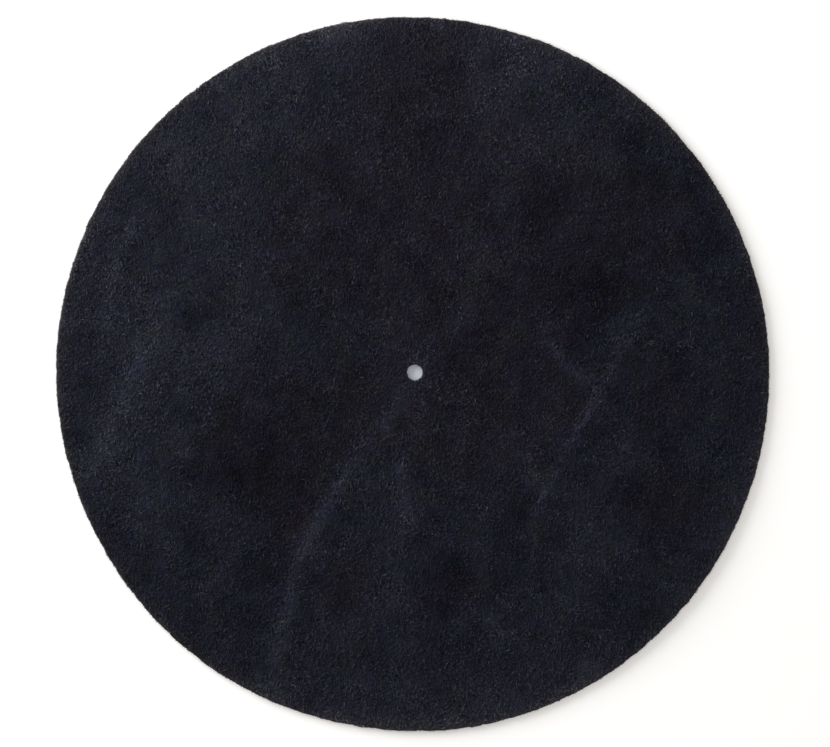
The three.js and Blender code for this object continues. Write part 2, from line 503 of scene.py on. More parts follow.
def cloud(x, y, patch, seed, layers):
    """Smooth random values from about -1 to 1, in patches of about this size"""
    total = np.zeros(len(x))
    for layer in range(layers):
        size = patch / 2**layer
        cells = int(2 * CLOUD_REACH / size) + SPARE_CELLS
        draw = np.random.default_rng(seed * SEED_STEP + layer)
        lattice = draw.uniform(-1, 1, (cells, cells))
        across = (x + CLOUD_REACH) / size + 1
        along = (y + CLOUD_REACH) / size + 1
        column = np.floor(across).astype(int) % (cells - 1)
        row = np.floor(along).astype(int) % (cells - 1)
        u = across - np.floor(across)
        v = along - np.floor(along)
        u = u * u * (3 - 2 * u)
        v = v * v * (3 - 2 * v)
        low = lattice[row, column] * (1 - u) + lattice[row, column + 1] * u
        high = lattice[row + 1, column] * (1 - u) + lattice[row + 1, column + 1] * u
        total += (low * (1 - v) + high * v) / 2**layer
    return total


def clouded(x, y, row):
    """The cloud that a row describes, times its amount"""
    return row["amount"] * cloud(x, y, row["patch"] * MM, row["seed"], row["layers"])


def strayed(x, y, stray):
    """The points moved aside at random, each way by a cloud of its own"""
    stray_y = {**stray, "seed": stray["seed"] + 1}
    return x + clouded(x, y, stray) * MM, y + clouded(x, y, stray_y) * MM


def patched(x, y, patches):
    """The sum of soft round patches, each (x, y, reach) in mm and its strength"""
    total = np.zeros(len(x))
    for patch_x, patch_y, reach, strength in patches:
        gap = np.hypot(x - patch_x * MM, y - patch_y * MM) / (reach * MM)
        total += strength * np.exp(-gap * gap)
    return total


class Hide:
    """The hide as it lies: its outline, its heights, and the tone of its nap with the light and
    shade painted on it
    """

    PATH_SAMPLES = 49
    # How steeply the raggedness of the outline fades inwards from the rim
    RAG_STEEPNESS = 40

    def __init__(self, cut):
        self.rim = cut.diameter / 2
        self.hole = cut.hole_diameter / 2
        self.creases = [(self.crease_path(c["stations"]), c) for c in CREASES.values()]
        self.ridges = [
            (curve_through(np.array(r["points"]) * MM, self.PATH_SAMPLES), r)
            for r in RUBBED_AND_LIT_RIDGES.values()
        ]

    def crease_path(self, stations):
        """Evenly spaced points along a crease"""
        points = [
            (share * self.rim * math.cos(math.radians(bearing)),
             share * self.rim * math.sin(math.radians(bearing)))
            for share, bearing in stations
        ]
        return curve_through(points, self.PATH_SAMPLES)

    def placed(self, radius, angle):
        """Where a point of the true disc lies once its outline has drifted and is ragged"""
        drift = sum(
            d["depth"] * MM * np.cos(d["lobes"] * (angle - math.radians(d["crest"])))
            for d in OUTLINE_DRIFTS
        )
        share = (radius - self.hole) / (self.rim - self.hole)
        ragged = clouded(self.rim * np.cos(angle), self.rim * np.sin(angle), RAGGED_RIM) * MM
        out = radius + drift * share + ragged * np.clip(share, 0, 1) ** self.RAG_STEEPNESS
        return out * np.cos(angle), out * np.sin(angle)

    def lift(self, x, y):
        """Height of the underside over the floor"""
        total = np.zeros(len(x))
        for path, crease in self.creases:
            gap, along = nearest_on(path, x, y)
            bulge = swell(gap / (crease["spread"] * MM)) * np.sin(math.pi * along)
            total += crease["height"] * MM * bulge
        bearing = np.arctan2(y, x)
        radius = np.hypot(x, y)
        for lift in RIM_LIFTS.values():
            aside = turned(bearing - math.radians(lift["middle"]))
            inward = np.clip((self.rim - radius) / (lift["reach"] * MM), 0, 1)
            share = swell(aside / math.radians(lift["half_width"])) * (1 - inward) ** 2
            total += lift["height"] * MM * share
        return total

    def rub(self, x, y):
        """How pale the ridges are painted, as rubbed nap and as a painted highlight, 0 where they
        aren't
        """
        total = np.zeros(len(x))
        worn = 1 + clouded(x, y, RIDGE_CLOUDS)
        aside_x, aside_y = strayed(x, y, RIDGE_STRAY)
        for path, ridge in self.ridges:
            gap, along = nearest_on(path, aside_x, aside_y)
            from_end = np.minimum(along, 1 - along)
            grown = np.clip(RIDGE_END + RIDGE_GROWTH * from_end, 0, 1)
            line = np.exp(-((gap / (ridge["width"] * MM)) ** 2))
            total += ridge["pale"] * line * grown * worn
        return np.clip(total, 0, 1)

    def streaks(self, x, y):
        """Long streaks along the way that the nap was brushed"""
        way = math.radians(BRUSHED_BEARING)
        along = x * math.cos(way) + y * math.sin(way)
        across = y * math.cos(way) - x * math.sin(way)
        return clouded(along / STREAK_STRETCH, across, TONE_STREAKS)

    def bloom(self, x, y):
        """How much paler the nap is near the rim"""
        inward = self.rim - np.hypot(x, y)
        bearing = np.arctan2(y, x)
        total = np.zeros(len(x))
        for bloom in RIM_BLOOMS:
            round_rim = np.cos(bloom["times"] * (bearing - math.radians(bloom["strongest"])))
            near_rim = np.exp(-((inward / (bloom["reach"] * MM)) ** 2))
            total += bloom["pale"] * near_rim * (1 + bloom["swing"] * round_rim)
        return total

    def tone(self, x, y):
        """Brightness of the nap, 1 on the average, with a painted light that is paler towards the
        lamp
        """
        total = 1 + self.streaks(x, y) + sum(clouded(x, y, row) for row in TONE_CLOUDS)
        patches = patched(*strayed(x, y, TONE_STRAY), DARK_PATCHES + PALE_PATCHES)
        total += TONE_PATCH_SHARE * patches
        # Painted light and shade: the nap is paler towards the left and the back, where the lamp
        # stands
        painted_lean = 1 + (PAINTED_LIGHT_LEAN[0] * x + PAINTED_LIGHT_LEAN[1] * y) / self.rim
        return np.clip(total, *TONE_LIMITS) * painted_lean * (1 + self.bloom(x, y))

    def warmth(self, x, y):
        """How far the dye has turned to umber, 0 to 1"""
        patches = [(*patch, UMBER_PATCH_SHARE) for patch in UMBER_PATCHES]
        total = clouded(x, y, UMBER_CLOUDS) + patched(*strayed(x, y, UMBER_STRAY), patches)
        start, stop = UMBER_TURN
        return np.clip((total - start) / (stop - start), 0, 1)

    def fields(self, x, y):
        """What the suede's material reads at each point"""
        inward = (self.rim - np.hypot(x, y)) / (CUT_EDGE_REACH * MM)
        rub = self.rub(x, y)
        return {
            "tone": self.tone(x, y),
            "warmth": self.warmth(x, y) * np.clip(1 - UMBER_LOSS * rub, 0, 1),
            "rub": rub,
            "cut": np.exp(-inward * inward),
        }


def new_object(name, points, triangles, fields, corner_map=None):
    """A smooth mesh object from points, triangles, a value a point for each field, and a map"""
    mesh = bpy.data.meshes.new(name)
    mesh.vertices.add(len(points))
    mesh.vertices.foreach_set("co", np.ascontiguousarray(points, dtype=np.float32).ravel())
    mesh.loops.add(3 * len(triangles))
    mesh.loops.foreach_set("vertex_index", np.ascontiguousarray(triangles, dtype=np.int32).ravel())
    mesh.polygons.add(len(triangles))
    mesh.polygons.foreach_set("loop_start", np.arange(0, 3 * len(triangles), 3, dtype=np.int32))
    mesh.update(calc_edges=True)
    if mesh.validate():
        raise RuntimeError(f"{name} came out with faces that aren't valid")
    mesh.shade_smooth()
    for field, values in fields.items():
        layer = mesh.attributes.new(field, "FLOAT", "POINT")
        layer.data.foreach_set("value", np.ascontiguousarray(values, dtype=np.float32))
    if corner_map is not None:
        layer = mesh.uv_layers.new(name="OFBake")
        layer.data.foreach_set("uv", np.ascontiguousarray(corner_map, dtype=np.float32).ravel())
    made = bpy.data.objects.new(name, mesh)
    bpy.context.scene.collection.objects.link(made)
    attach(made, BODY)
    return made


def stitched(inner, outer):
    """Triangles between two rings of points. Each ring is (first index, angles), its angles in
    rising order from about 0, and the triangles face away from the axis where outer is above."""
    first_a, angles_a = inner
    first_b, angles_b = outer
    count_a, count_b = len(angles_a), len(angles_b)
    whole = 2 * math.pi
    made = []
    a = b = 0
    while a < count_a or b < count_b:
        next_a = angles_a[(a + 1) % count_a] + whole * ((a + 1) // count_a)
        next_b = angles_b[(b + 1) % count_b] + whole * ((b + 1) // count_b)
        here_a = first_a + a % count_a
        here_b = first_b + b % count_b
        if b == count_b or (a < count_a and next_a <= next_b):
            made.append((here_a, first_a + (a + 1) % count_a, here_b))
            a += 1
        else:
            made.append((here_a, first_b + (b + 1) % count_b, here_b))
            b += 1
    return made


def arc(centre_radius, centre_height, radius, start, stop, steps):
    """Points (radius, height) of a rounded edge, angles in degrees, without its first point"""
    angles = np.radians(np.linspace(start, stop, steps + 1)[1:])
    return [
        (centre_radius + radius * math.cos(a), centre_height + radius * math.sin(a))
        for a in angles
    ]


def straight(start, stop, spacing):
    """Points (radius, height) of a straight run, without its first point"""
    steps = max(1, round(math.dist(start, stop) / spacing))
    shares = np.linspace(0, 1, steps + 1)[1:]
    return [tuple(np.add(np.multiply(start, 1 - s), np.multiply(stop, s))) for s in shares]


# The hide's mesh: the spacing of points round the hole and of rows up a cut wall in mm, the
# steps in the roundings of the nap side and of the back, and the fewest points in a ring
HOLE_MESH = 0.35
WALL_ROWS = 0.3
NAP_STEPS = 4
BACK_STEPS = 2
FEWEST_POINTS = 24

# The seed that turns the rings at random, and the most that one turns, as a share of its spacing
RING_SEED = 5
RING_TURN = 0.9

# The grain of the cut edge is drawn out round the rim: a radian takes this many metres of it.
# The pebbling has this share of its height off the nap side, and lies only above this height.
EDGE_GRAIN_LENGTH = 0.02
EDGE_PEBBLES = 0.35
PEBBLES_ABOVE = 1 * MM


def hide_section(cut):
    """The hide's section as zones of (name, mesh spacing, points), from the hole round to the
    hole. The last rounding stops short of the first point, where the section closes."""
    rim = cut.diameter / 2 - cut.rim_allowance
    hole = cut.hole_diameter / 2
    top = cut.thickness - cut.nap_depth
    # Rows of even triangles lie closer than their points by this share
    row = math.sqrt(0.75)
    back_in = (hole + cut.hole_back_round, 0)
    back_out = (rim - cut.rim_back_round, 0)
    wall_low = (rim, cut.rim_back_round)
    wall_high = (rim, top - cut.rim_nap_round)
    nap_out = (rim - cut.rim_nap_round, top)
    nap_in = (hole + cut.hole_nap_round, top)
    bore_high = (hole, top - cut.hole_nap_round)
    bore_low = (hole, cut.hole_back_round)
    back = [back_in] + straight(back_in, back_out, cut.back_mesh * row)
    rim_low = arc(back_out[0], wall_low[1], cut.rim_back_round, -90, 0, BACK_STEPS)
    rim_wall = straight(wall_low, wall_high, WALL_ROWS * MM)
    rim_high = arc(nap_out[0], wall_high[1], cut.rim_nap_round, 0, 90, NAP_STEPS)
    face = straight(nap_out, nap_in, cut.nap_mesh * row)
    hole_high = arc(nap_in[0], bore_high[1], cut.hole_nap_round, 90, 180, NAP_STEPS)
    bore = straight(bore_high, bore_low, WALL_ROWS * MM)
    hole_low = arc(back_in[0], bore_low[1], cut.hole_back_round, 180, 250, BACK_STEPS)
    return (
        ("back", cut.back_mesh, back),
        ("edge", cut.edge_mesh, rim_low + rim_wall + rim_high),
        ("nap", cut.nap_mesh, face),
        ("edge", HOLE_MESH * MM, hole_high + bore + hole_low),
    )


def make_hide(cut):
    """The hide itself, one closed mesh of rings whose points keep an even spacing"""
    hide = Hide(cut)
    rings = [
        (zone, spacing, radius, height)
        for zone, spacing, points in hide_section(cut)
        for radius, height in points
    ]
    turn = np.random.default_rng(RING_SEED)
    places = []
    ring_list = []
    first = 0
    for zone, spacing, radius, height in rings:
        count = max(FEWEST_POINTS, round(2 * math.pi * radius / spacing))
        angles = (np.arange(count) + turn.uniform(0, RING_TURN)) * 2 * math.pi / count
        places.append(np.column_stack([
            np.full(count, radius), angles, np.full(count, height),
            np.full(count, zone == "nap"), np.full(count, zone == "edge")]))
        ring_list.append((first, angles))
        first += count
    radius, angle, height, nap, edge = np.vstack(places).T
    triangles = []
    for ring, following in zip(ring_list, ring_list[1:] + ring_list[:1]):
        triangles += stitched(ring, following)
    x, y = hide.placed(radius, angle)
    on_rim = edge * (radius > hide.rim / 2)
    grain = on_rim * cut.rim_allowance * clouded(angle * EDGE_GRAIN_LENGTH, height, EDGE_GRAIN)
    outward = 1 + grain / np.hypot(x, y)
    x = x * outward
    y = y * outward
    pebbled = (EDGE_PEBBLES + (1 - EDGE_PEBBLES) * nap) * (height > PEBBLES_ABOVE)
    pebbles = cut.pebble * clouded(x, y, PEBBLES) * pebbled
    points = np.column_stack([x, y, height + hide.lift(x, y) + pebbles])
    fields = hide.fields(x, y)
    fields["strand"] = np.ones(len(x))
    fields["along"] = np.zeros(len(x))
    made = new_object("suede_hide", points, np.array(triangles), fields)
    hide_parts(NODE)
    return made


# A wisp's thickness as a share of its width, and the share of its cell that it fills on the map
WISP_FLATNESS = 0.6
MAP_FILL = 0.94


def fibre_mesh(root, bearing, climb, curl, length, width, rings):
    """Closed wisps, each pointed at both ends, with this many rings of 3 points between them.
    climb and curl are how much its pitch falls and its bearing turns from root to tip."""
    count = len(root)
    pitch, fall = climb
    steps = rings + 1
    spot = root.copy()
    spots, sides, ups = [root], [], []
    for step in range(steps):
        share = (step + 0.5) / steps
        heading = bearing + curl * (share - 0.5)
        slope = pitch - fall * share
        level = np.cos(slope)
        ahead = np.column_stack([level * np.cos(heading), level * np.sin(heading), np.sin(slope)])
        spot = spot + ahead * (length / steps)[:, None]
        side = np.column_stack([-np.sin(heading), np.cos(heading), np.zeros(count)])
        spots.append(spot)
        sides.append(side)
        ups.append(np.cross(ahead, side))
    points = [spots[0][:, None, :]]
    along = [np.zeros((count, 1))]
    for ring in range(1, steps):
        share = ring / steps
        full = width * (1 - abs(2 * share - 1) ** 3) / 2
        spokes = []
        for spoke in (90, 210, 330):
            across = math.cos(math.radians(spoke))
            up = WISP_FLATNESS * math.sin(math.radians(spoke))
            offset = sides[ring] * across + ups[ring] * up
            spokes.append(spots[ring] + offset * full[:, None])
        points.append(np.stack(spokes, axis=1))
        along.append(np.full((count, 3), share))
    points.append(spots[-1][:, None, :])
    along.append(np.ones((count, 1)))
    return np.concatenate(points, axis=1), np.concatenate(along, axis=1)


def fibre_faces(rings):
    """One wisp's triangles, and the places of their corners in its cell of the map"""
    tip = 3 * rings + 1
    faces, corners = [], []
    for side in range(3):
        left = side / 3
        right = left + MAP_FILL / 3
        second = (side + 1) % 3
        faces.append((0, 1 + second, 1 + side))
        corners.append(((left, 0), (right, 0), (left, 1 / (rings + 1))))
        for ring in range(rings - 1):
            low, high = 3 * ring + 1, 3 * ring + 4
            base, top = (ring + 1) / (rings + 1), (ring + 2) / (rings + 1)
            faces.append((low + side, low + second, high + second))
            corners.append(((left, base), (right, base), (right, top)))
            faces.append((low + side, high + second, high + side))
            corners.append(((left, base), (right, top), (left, top)))
        last = 3 * rings - 2
        faces.append((last + side, last + second, tip))
        corners.append(((right, 1 / (rings + 1)), (right, 1), (left, 1)))
    return np.array(faces), np.array(corners)


def map_cells(x, y):
    """Each wisp's cell in a square grid, in rows across the mat, and the side of the grid"""
    side = math.ceil(math.sqrt(len(x)))
    column = np.empty(len(x), int)
    row = np.empty(len(x), int)
    for index, members in enumerate(np.array_split(np.argsort(y), side)):
        column[members[np.argsort(x[members])]] = np.arange(len(members))
        row[members] = index
    return column, row, side


def make_fibres(name, root, shape, fields, rings):
    """One piece of many wisps"""
    points, along = fibre_mesh(root, **shape, rings=rings)
    count, each = along.shape
    faces, corners = fibre_faces(rings)
    triangles = (faces[None] + each * np.arange(count)[:, None, None]).reshape(-1, 3)
    column, row, side = map_cells(root[:, 0], root[:, 1])
    cell = np.column_stack([column, row])[:, None, None, :]
    corner_map = ((cell + (1 - MAP_FILL) / 2 + MAP_FILL * corners[None]) / side).reshape(-1, 2)
    spread = {field: np.repeat(values, each) for field, values in fields.items()}
    spread["along"] = along.ravel()
    return new_object(name, points.reshape(-1, 3), triangles, spread, corner_map)


# The four layers of the nap, from the shortest and darkest to the longest and palest: how many
# wisps and their random seed, rings in each wisp, length and width as shares of the usual,
# brightness, and how far that differs from wisp to wisp.
NAP_LAYERS = {
    "nap_down": {"wisps": 33000, "seed": 101, "rings": 1, "length": 0.7, "width": 1.2,
                 "tone": 0.88, "spread": 0.18},
    "nap_brushed": {"wisps": 30000, "seed": 102, "rings": 1, "length": 1.1, "width": 1.2,
                    "tone": 1.0, "spread": 0.23},
    "nap_curled": {"wisps": 13000, "seed": 103, "rings": 2, "length": 1.4, "width": 1.08,
                   "tone": 1.12, "spread": 0.28},
    "nap_stray": {"wisps": 6500, "seed": 104, "rings": 4, "length": 1.8, "width": 0.68,
                  "tone": 1.28, "spread": 0.31},
}

# Where the wisps are rooted, in mm: in from the hole, in from the rim, and under the hide
HOLE_INSET = 0.15
RIM_INSET = 0.35
ROOT_DEPTH = 0.05

# The wisps lie on an even spiral, which starts at its seed in radians: the angle from one to the
# next, and how far each strays from it, as a share of the gap between them
GOLDEN_ANGLE = math.pi * (3 - math.sqrt(5))
SPIRAL_STRAY = 0.35

# How wisps differ: the shortest or narrowest and the longest or widest, as shares of the usual,
# how far a pitch falls from root to tip, and how much a bearing turns there in radians
WISP_SIZES = (0.6, 1.4)
WISP_FALLS = (0.2, 1.3)
WISP_CURL = 1.05

# Wisps are turned towards the front or the back by up to this much, in radians. Each starts this
# share of its length behind its place, and is turned round if it would pass the rim by this
# many mm.
COMBED = 0.18
START_BEHIND = 0.35
PAST_RIM = 0.1

# The darkest and the palest wisp, as shares of its layer's brightness
STRAND_LIMITS = (0.12, 2.2)


def scattered(draw, layer, inner, outer):
    """The radius and angle of each wisp of a layer, spread evenly between two radii"""
    count = layer["wisps"]
    share = (np.arange(count) + draw.uniform(0, 1, count)) / count
    radius = np.sqrt(inner**2 + (outer**2 - inner**2) * share)
    gap = math.sqrt(math.pi * outer**2 / count)
    angle = np.arange(count) * GOLDEN_ANGLE + layer["seed"]
    angle = angle + draw.normal(0, SPIRAL_STRAY * gap, count) / radius
    return radius, angle % (2 * math.pi)


def rooted(hide, cut, x, y):
    """Points just under the nap side, which sink where it rounds off at the rim"""
    level = cut.thickness - cut.nap_depth - ROOT_DEPTH * MM
    past_shoulder = np.hypot(x, y) - (hide.rim - cut.rim_nap_round)
    rounding = np.clip(past_shoulder / cut.rim_nap_round, 0, 1)
    sunk = rounding**2 * cut.rim_nap_round / 2
    return np.column_stack([x, y, level + hide.lift(x, y) - sunk])


def make_nap_layer(name, layer, cut, nap):
    """One layer of the nap, spread evenly over the hide"""
    draw = np.random.default_rng(layer["seed"])
    hide = Hide(cut)
    count = layer["wisps"]
    inner = hide.hole + HOLE_INSET * MM
    outer = hide.rim - cut.rim_allowance - RIM_INSET * MM
    x, y = hide.placed(*scattered(draw, layer, inner, outer))
    length = nap.fibre_length * layer["length"] * draw.uniform(*WISP_SIZES, count)
    bearing = draw.uniform(0, 2 * math.pi, count)
    bearing = bearing + COMBED * np.sin(2 * bearing)
    pitch = draw.uniform(nap.flattest, nap.steepest, count)
    pitch = np.minimum(pitch, np.arcsin(np.minimum(nap.tallest / length, 1)))
    behind = START_BEHIND * length
    x = x - behind * np.cos(bearing)
    y = y - behind * np.sin(bearing)
    reach = np.hypot(x + length * np.cos(bearing), y + length * np.sin(bearing))
    bearing = np.where(reach > hide.rim + PAST_RIM * MM, bearing + math.pi, bearing)
    near_hole = np.hypot(x, y) < inner
    x = np.where(near_hole, x + behind * np.cos(bearing), x)
    y = np.where(near_hole, y + behind * np.sin(bearing), y)
    shape = {
        "bearing": bearing,
        "climb": (pitch, pitch * draw.uniform(*WISP_FALLS, count)),
        "curl": draw.normal(0, WISP_CURL * layer["length"], count),
        "length": length,
        "width": nap.fibre_width * layer["width"] * draw.uniform(*WISP_SIZES, count),
    }
    fields = hide.fields(x, y)
    strand = draw.normal(1, layer["spread"], count)
    fields["strand"] = layer["tone"] * np.clip(strand, *STRAND_LIMITS)
    return make_fibres(name, rooted(hide, cut, x, y), shape, fields, layer["rings"])


# The fringes of the cut edges: how many fibres, which way they stand, 1 out of the rim and -1
# into the hole, their length as a share of the usual, and their random seed.
FRINGES = {
    "rim_fringe": {"fibres": 11000, "outward": 1, "length": 1, "seed": 201},
    "hole_fringe": {"fibres": 2100, "outward": -1, "length": 0.85, "seed": 202},
}

# Where a fringe's fibres are rooted: between these shares of the thickness, more of them high
# up the lower this power is, at least this many mm inside the edge, and further in by this
# share of the way that the edge rounds off above them
FRINGE_HEIGHTS = (0.1, 0.93)
FRINGE_CROWDING = 0.7
FRINGE_INSET = 0.2
FRINGE_ROUNDING = 0.8

# How a fringe's fibres differ, in radians: the spread of their bearings and of their curls, and
# the mean and the spread of their pitch and of its fall, with the least and the most of each
FRINGE_BEARINGS = 0.6
FRINGE_CURLS = 0.8
FRINGE_PITCHES = (0.1, 0.3)
FRINGE_PITCH_LIMITS = (-0.3, 1)
FRINGE_FALL_LIMITS = (-1, 0.4)

# Their lengths and widths, as shares of the longest fibre and of a fringe's usual width, and
# that width as a share of a wisp's
FRINGE_LENGTHS = (0.25, 1)
FRINGE_WIDTHS = (0.6, 1.3)
FRINGE_WIDTH = 0.34

# Their brightness, how far it differs from fibre to fibre, and the share of pale fibres and how
# much brighter those are. The fringe is painted paler than the nap, partly as a painted sheen where
# the fibres of the cut edge catch the light.
FRINGE_TONE = 1.25
FRINGE_SPREAD = 0.45
PALE_FIBRES = 0.12
PALE_FIBRE_TONE = 4


def make_fringe(name, fringe, cut, nap, radius):
    """Short fibres that stand out of the cut edge at a radius"""
    draw = np.random.default_rng(fringe["seed"])
    hide = Hide(cut)
    count = fringe["fibres"]
    outward = fringe["outward"]
    angle = np.sort(draw.uniform(0, 2 * math.pi, count))
    height = cut.thickness * draw.uniform(*FRINGE_HEIGHTS, count) ** FRINGE_CROWDING
    top = cut.thickness - cut.nap_depth
    over = np.clip((height - (top - cut.rim_nap_round)) / cut.rim_nap_round, 0, 1)
    rounded = (1 - np.sqrt(1 - over**2)) * cut.rim_nap_round
    inset = FRINGE_INSET * MM + FRINGE_ROUNDING * rounded
    x, y = hide.placed(radius - outward * inset, angle)
    root = np.column_stack([x, y, np.minimum(height, top) + hide.lift(x, y)])
    bearing = angle + (0 if outward > 0 else math.pi) + draw.normal(0, FRINGE_BEARINGS, count)
    pitch = np.clip(draw.normal(*FRINGE_PITCHES, count), *FRINGE_PITCH_LIMITS)
    fall = np.clip(draw.normal(*FRINGE_PITCHES, count), *FRINGE_FALL_LIMITS)
    curl = draw.normal(0, FRINGE_CURLS, count)
    length = nap.fringe_length * fringe["length"] * draw.uniform(*FRINGE_LENGTHS, count)
    width = nap.fibre_width * FRINGE_WIDTH * draw.uniform(*FRINGE_WIDTHS, count)
    shape = {"bearing": bearing, "climb": (pitch, fall), "curl": curl, "length": length,
             "width": width}
    fields = hide.fields(x, y)
    # Partly painted sheen: the fringe is paler than the nap, and a few of its fibres much paler
    pale = np.where(draw.uniform(0, 1, count) < PALE_FIBRES, PALE_FIBRE_TONE, 1)
    fields["strand"] = FRINGE_TONE * np.exp(draw.normal(0, FRINGE_SPREAD, count)) * pale
    return make_fibres(name, root, shape, fields, 1)


# The suede's fine patterns: blotches of dye, worms of matted hide, specks of single tufts, the
# patches in which those show more or less, and the drift of the dye's red, green and blue
BLOTCHES = {"patch": 5 * MM, "detail": 3.0}
WORMS = {"patch": 0.95 * MM, "detail": 1.0, "distortion": 0.8}
SPECKS = {"patch": 1.25 * MM, "detail": 0.8}
STRENGTHS = {"patch": 9 * MM, "detail": 3.0, "roughness": 0.6}
DRIFT = {"patch": 10 * MM, "detail": 2.5, "roughness": 0.85}

# How much the blotches turn the dye, how thin the worms are and how dark and pale they make the
# hide, and how far the specks go from dark to pale
BLOTCH_SHARE = 0.6
WORM_THINNESS = 2.6
WORM_DARK = 0.5
WORM_PALE = 1.6
SPECK_SWING = 1.38
SPECK_LIMITS = (0.2, 3)

# How strongly the specks and strands show, by patches: the change from the weakest to the
# strongest patch, less an even share, and the least and the most
STRENGTH_SWING = 3.6
STRENGTH_LESS = 0.88
STRENGTH_LIMITS = (0.3, 1.9)

# Where along a wisp the painted shade at its root gives way to its full brightness, and the tones
# at which the nap starts and ends its turn from its dye to the grey of its palest tips, partly
# rubbed fibres and partly a painted highlight
LIT_AT = 0.625
PAINTED_HIGHLIGHT_TURN = (0.7, 0.7 + 4 / 3)

# The heights of the bump on a wisp and on the hide, how strong it is, and the specks' share of
# the hide's
WISP_BUMP = 0.04 * MM
HIDE_BUMP = 0.12 * MM
BUMP_STRENGTH = 0.8
SPECK_BUMP = 0.7

# The suede's gloss: its least roughness, and the weak blue gloss and sheen of its fibres
LEAST_ROUGH = 0.86
GLOSS = {"Specular IOR Level": 0.05, "Specular Tint": (0.62, 0.7, 1.0, 1),
         "Sheen Weight": 0.012, "Sheen Roughness": 0.5, "Sheen Tint": (0.62, 0.72, 1.0, 1)}


def suede_material(name, dye, nap, is_fibre):
    """Dyed suede. The hide between the wisps is painted darker, as shade, and has the fine grain in
    its bump.
    """
    material = bpy.data.materials.new(name)
    nodes = Nodes(material)
    speck = nodes.noise(**SPECKS)
    warmth = nodes.field("warmth") + (nodes.noise(**BLOTCHES) - 0.5) * BLOTCH_SHARE
    dyed = nodes.mixed(warmth.clamped(), (*dye.navy, 1), (*dye.umber, 1))
    cast = nodes.add("ShaderNodeVectorMath", {"operation": "MULTIPLY_ADD"}, {
        0: nodes.drifting(**DRIFT), 1: dye.cast, 2: [1 - each / 2 for each in dye.cast]})
    dyed = nodes.add("ShaderNodeVectorMath", {"operation": "MULTIPLY"}, {
        0: dyed, 1: cast.outputs[0]}).outputs[0]
    grain = (1 + (speck - 0.5) * SPECK_SWING).clamped(*SPECK_LIMITS)
    strength = nodes.noise(**STRENGTHS) * STRENGTH_SWING - STRENGTH_LESS
    strength = strength.clamped(*STRENGTH_LIMITS)
    if is_fibre:
        # Painted shade: each wisp is darker towards its root, down in the nap
        lit = nodes.field("along").rising(0, LIT_AT) * (1 - nap.root_painted_shade) + nap.root_painted_shade
        pattern = lit * (grain * nodes.field("strand")) ** strength
        relief = speck
        height = WISP_BUMP
    else:
        worms = (1 - abs(nodes.noise(**WORMS) * 2 - 1) * WORM_THINNESS).clamped() ** 2
        worm_shade = WORM_DARK + (WORM_PALE - WORM_DARK) * worms
        # Painted shade: the hide between the wisps is darkened
        pattern = (grain * worm_shade) ** strength * dye.hide_painted_shade
        relief = worms + speck * SPECK_BUMP
        height = HIDE_BUMP
    nap_tone = nodes.field("tone") * pattern
    # The ridges' paleness is partly rubbed nap and partly a painted highlight
    brightness = nap_tone * (1 + nodes.field("rub"))
    # The palest nap turns grey, partly as rubbed tips and partly as a painted highlight
    coloured = nodes.mixed(nap_tone.rising(*PAINTED_HIGHLIGHT_TURN), dyed, (*dye.tips, 1))
    coloured = nodes.mixed(nodes.field("cut"), coloured, (*dye.cut_edge, 1))
    bump = nodes.add("ShaderNodeBump", {}, {
        "Strength": BUMP_STRENGTH, "Distance": height, "Height": relief})
    shader = nodes.add("ShaderNodeBsdfPrincipled", {}, {
        "Base Color": nodes.scaled(coloured, brightness),
        "Roughness": (LEAST_ROUGH + speck * (1 - LEAST_ROUGH)).clamped(),
        "Normal": bump.outputs[0],
        **GLOSS,
    })
    nodes.add("ShaderNodeOutputMaterial", {}, {"Surface": shader.outputs[0]})
    return material


def seen_straight(nodes):
    """1 for what the camera sees, also in gloss or through glass, and 0 for what lights"""
    rays = nodes.add("ShaderNodeLightPath", {}, {})
    total = Shade(nodes, rays.outputs["Is Camera Ray"])
    for kind in ("Is Glossy Ray", "Is Transmission Ray"):
        total = total + Shade(nodes, rays.outputs[kind])
    return total.clamped()


# The floor: half its width, how far it lies under the mat, and, by the distance from the hole,
# where it turns from its look inside the hole, with its painted blue light, to its look outside,
# and from that to white
FLOOR_HALF = 6.0
FLOOR_DROP = 0.02 * MM
OUT_OF_HOLE = (0.05, 0.15)
TO_WHITE = (0.2, 0.4)


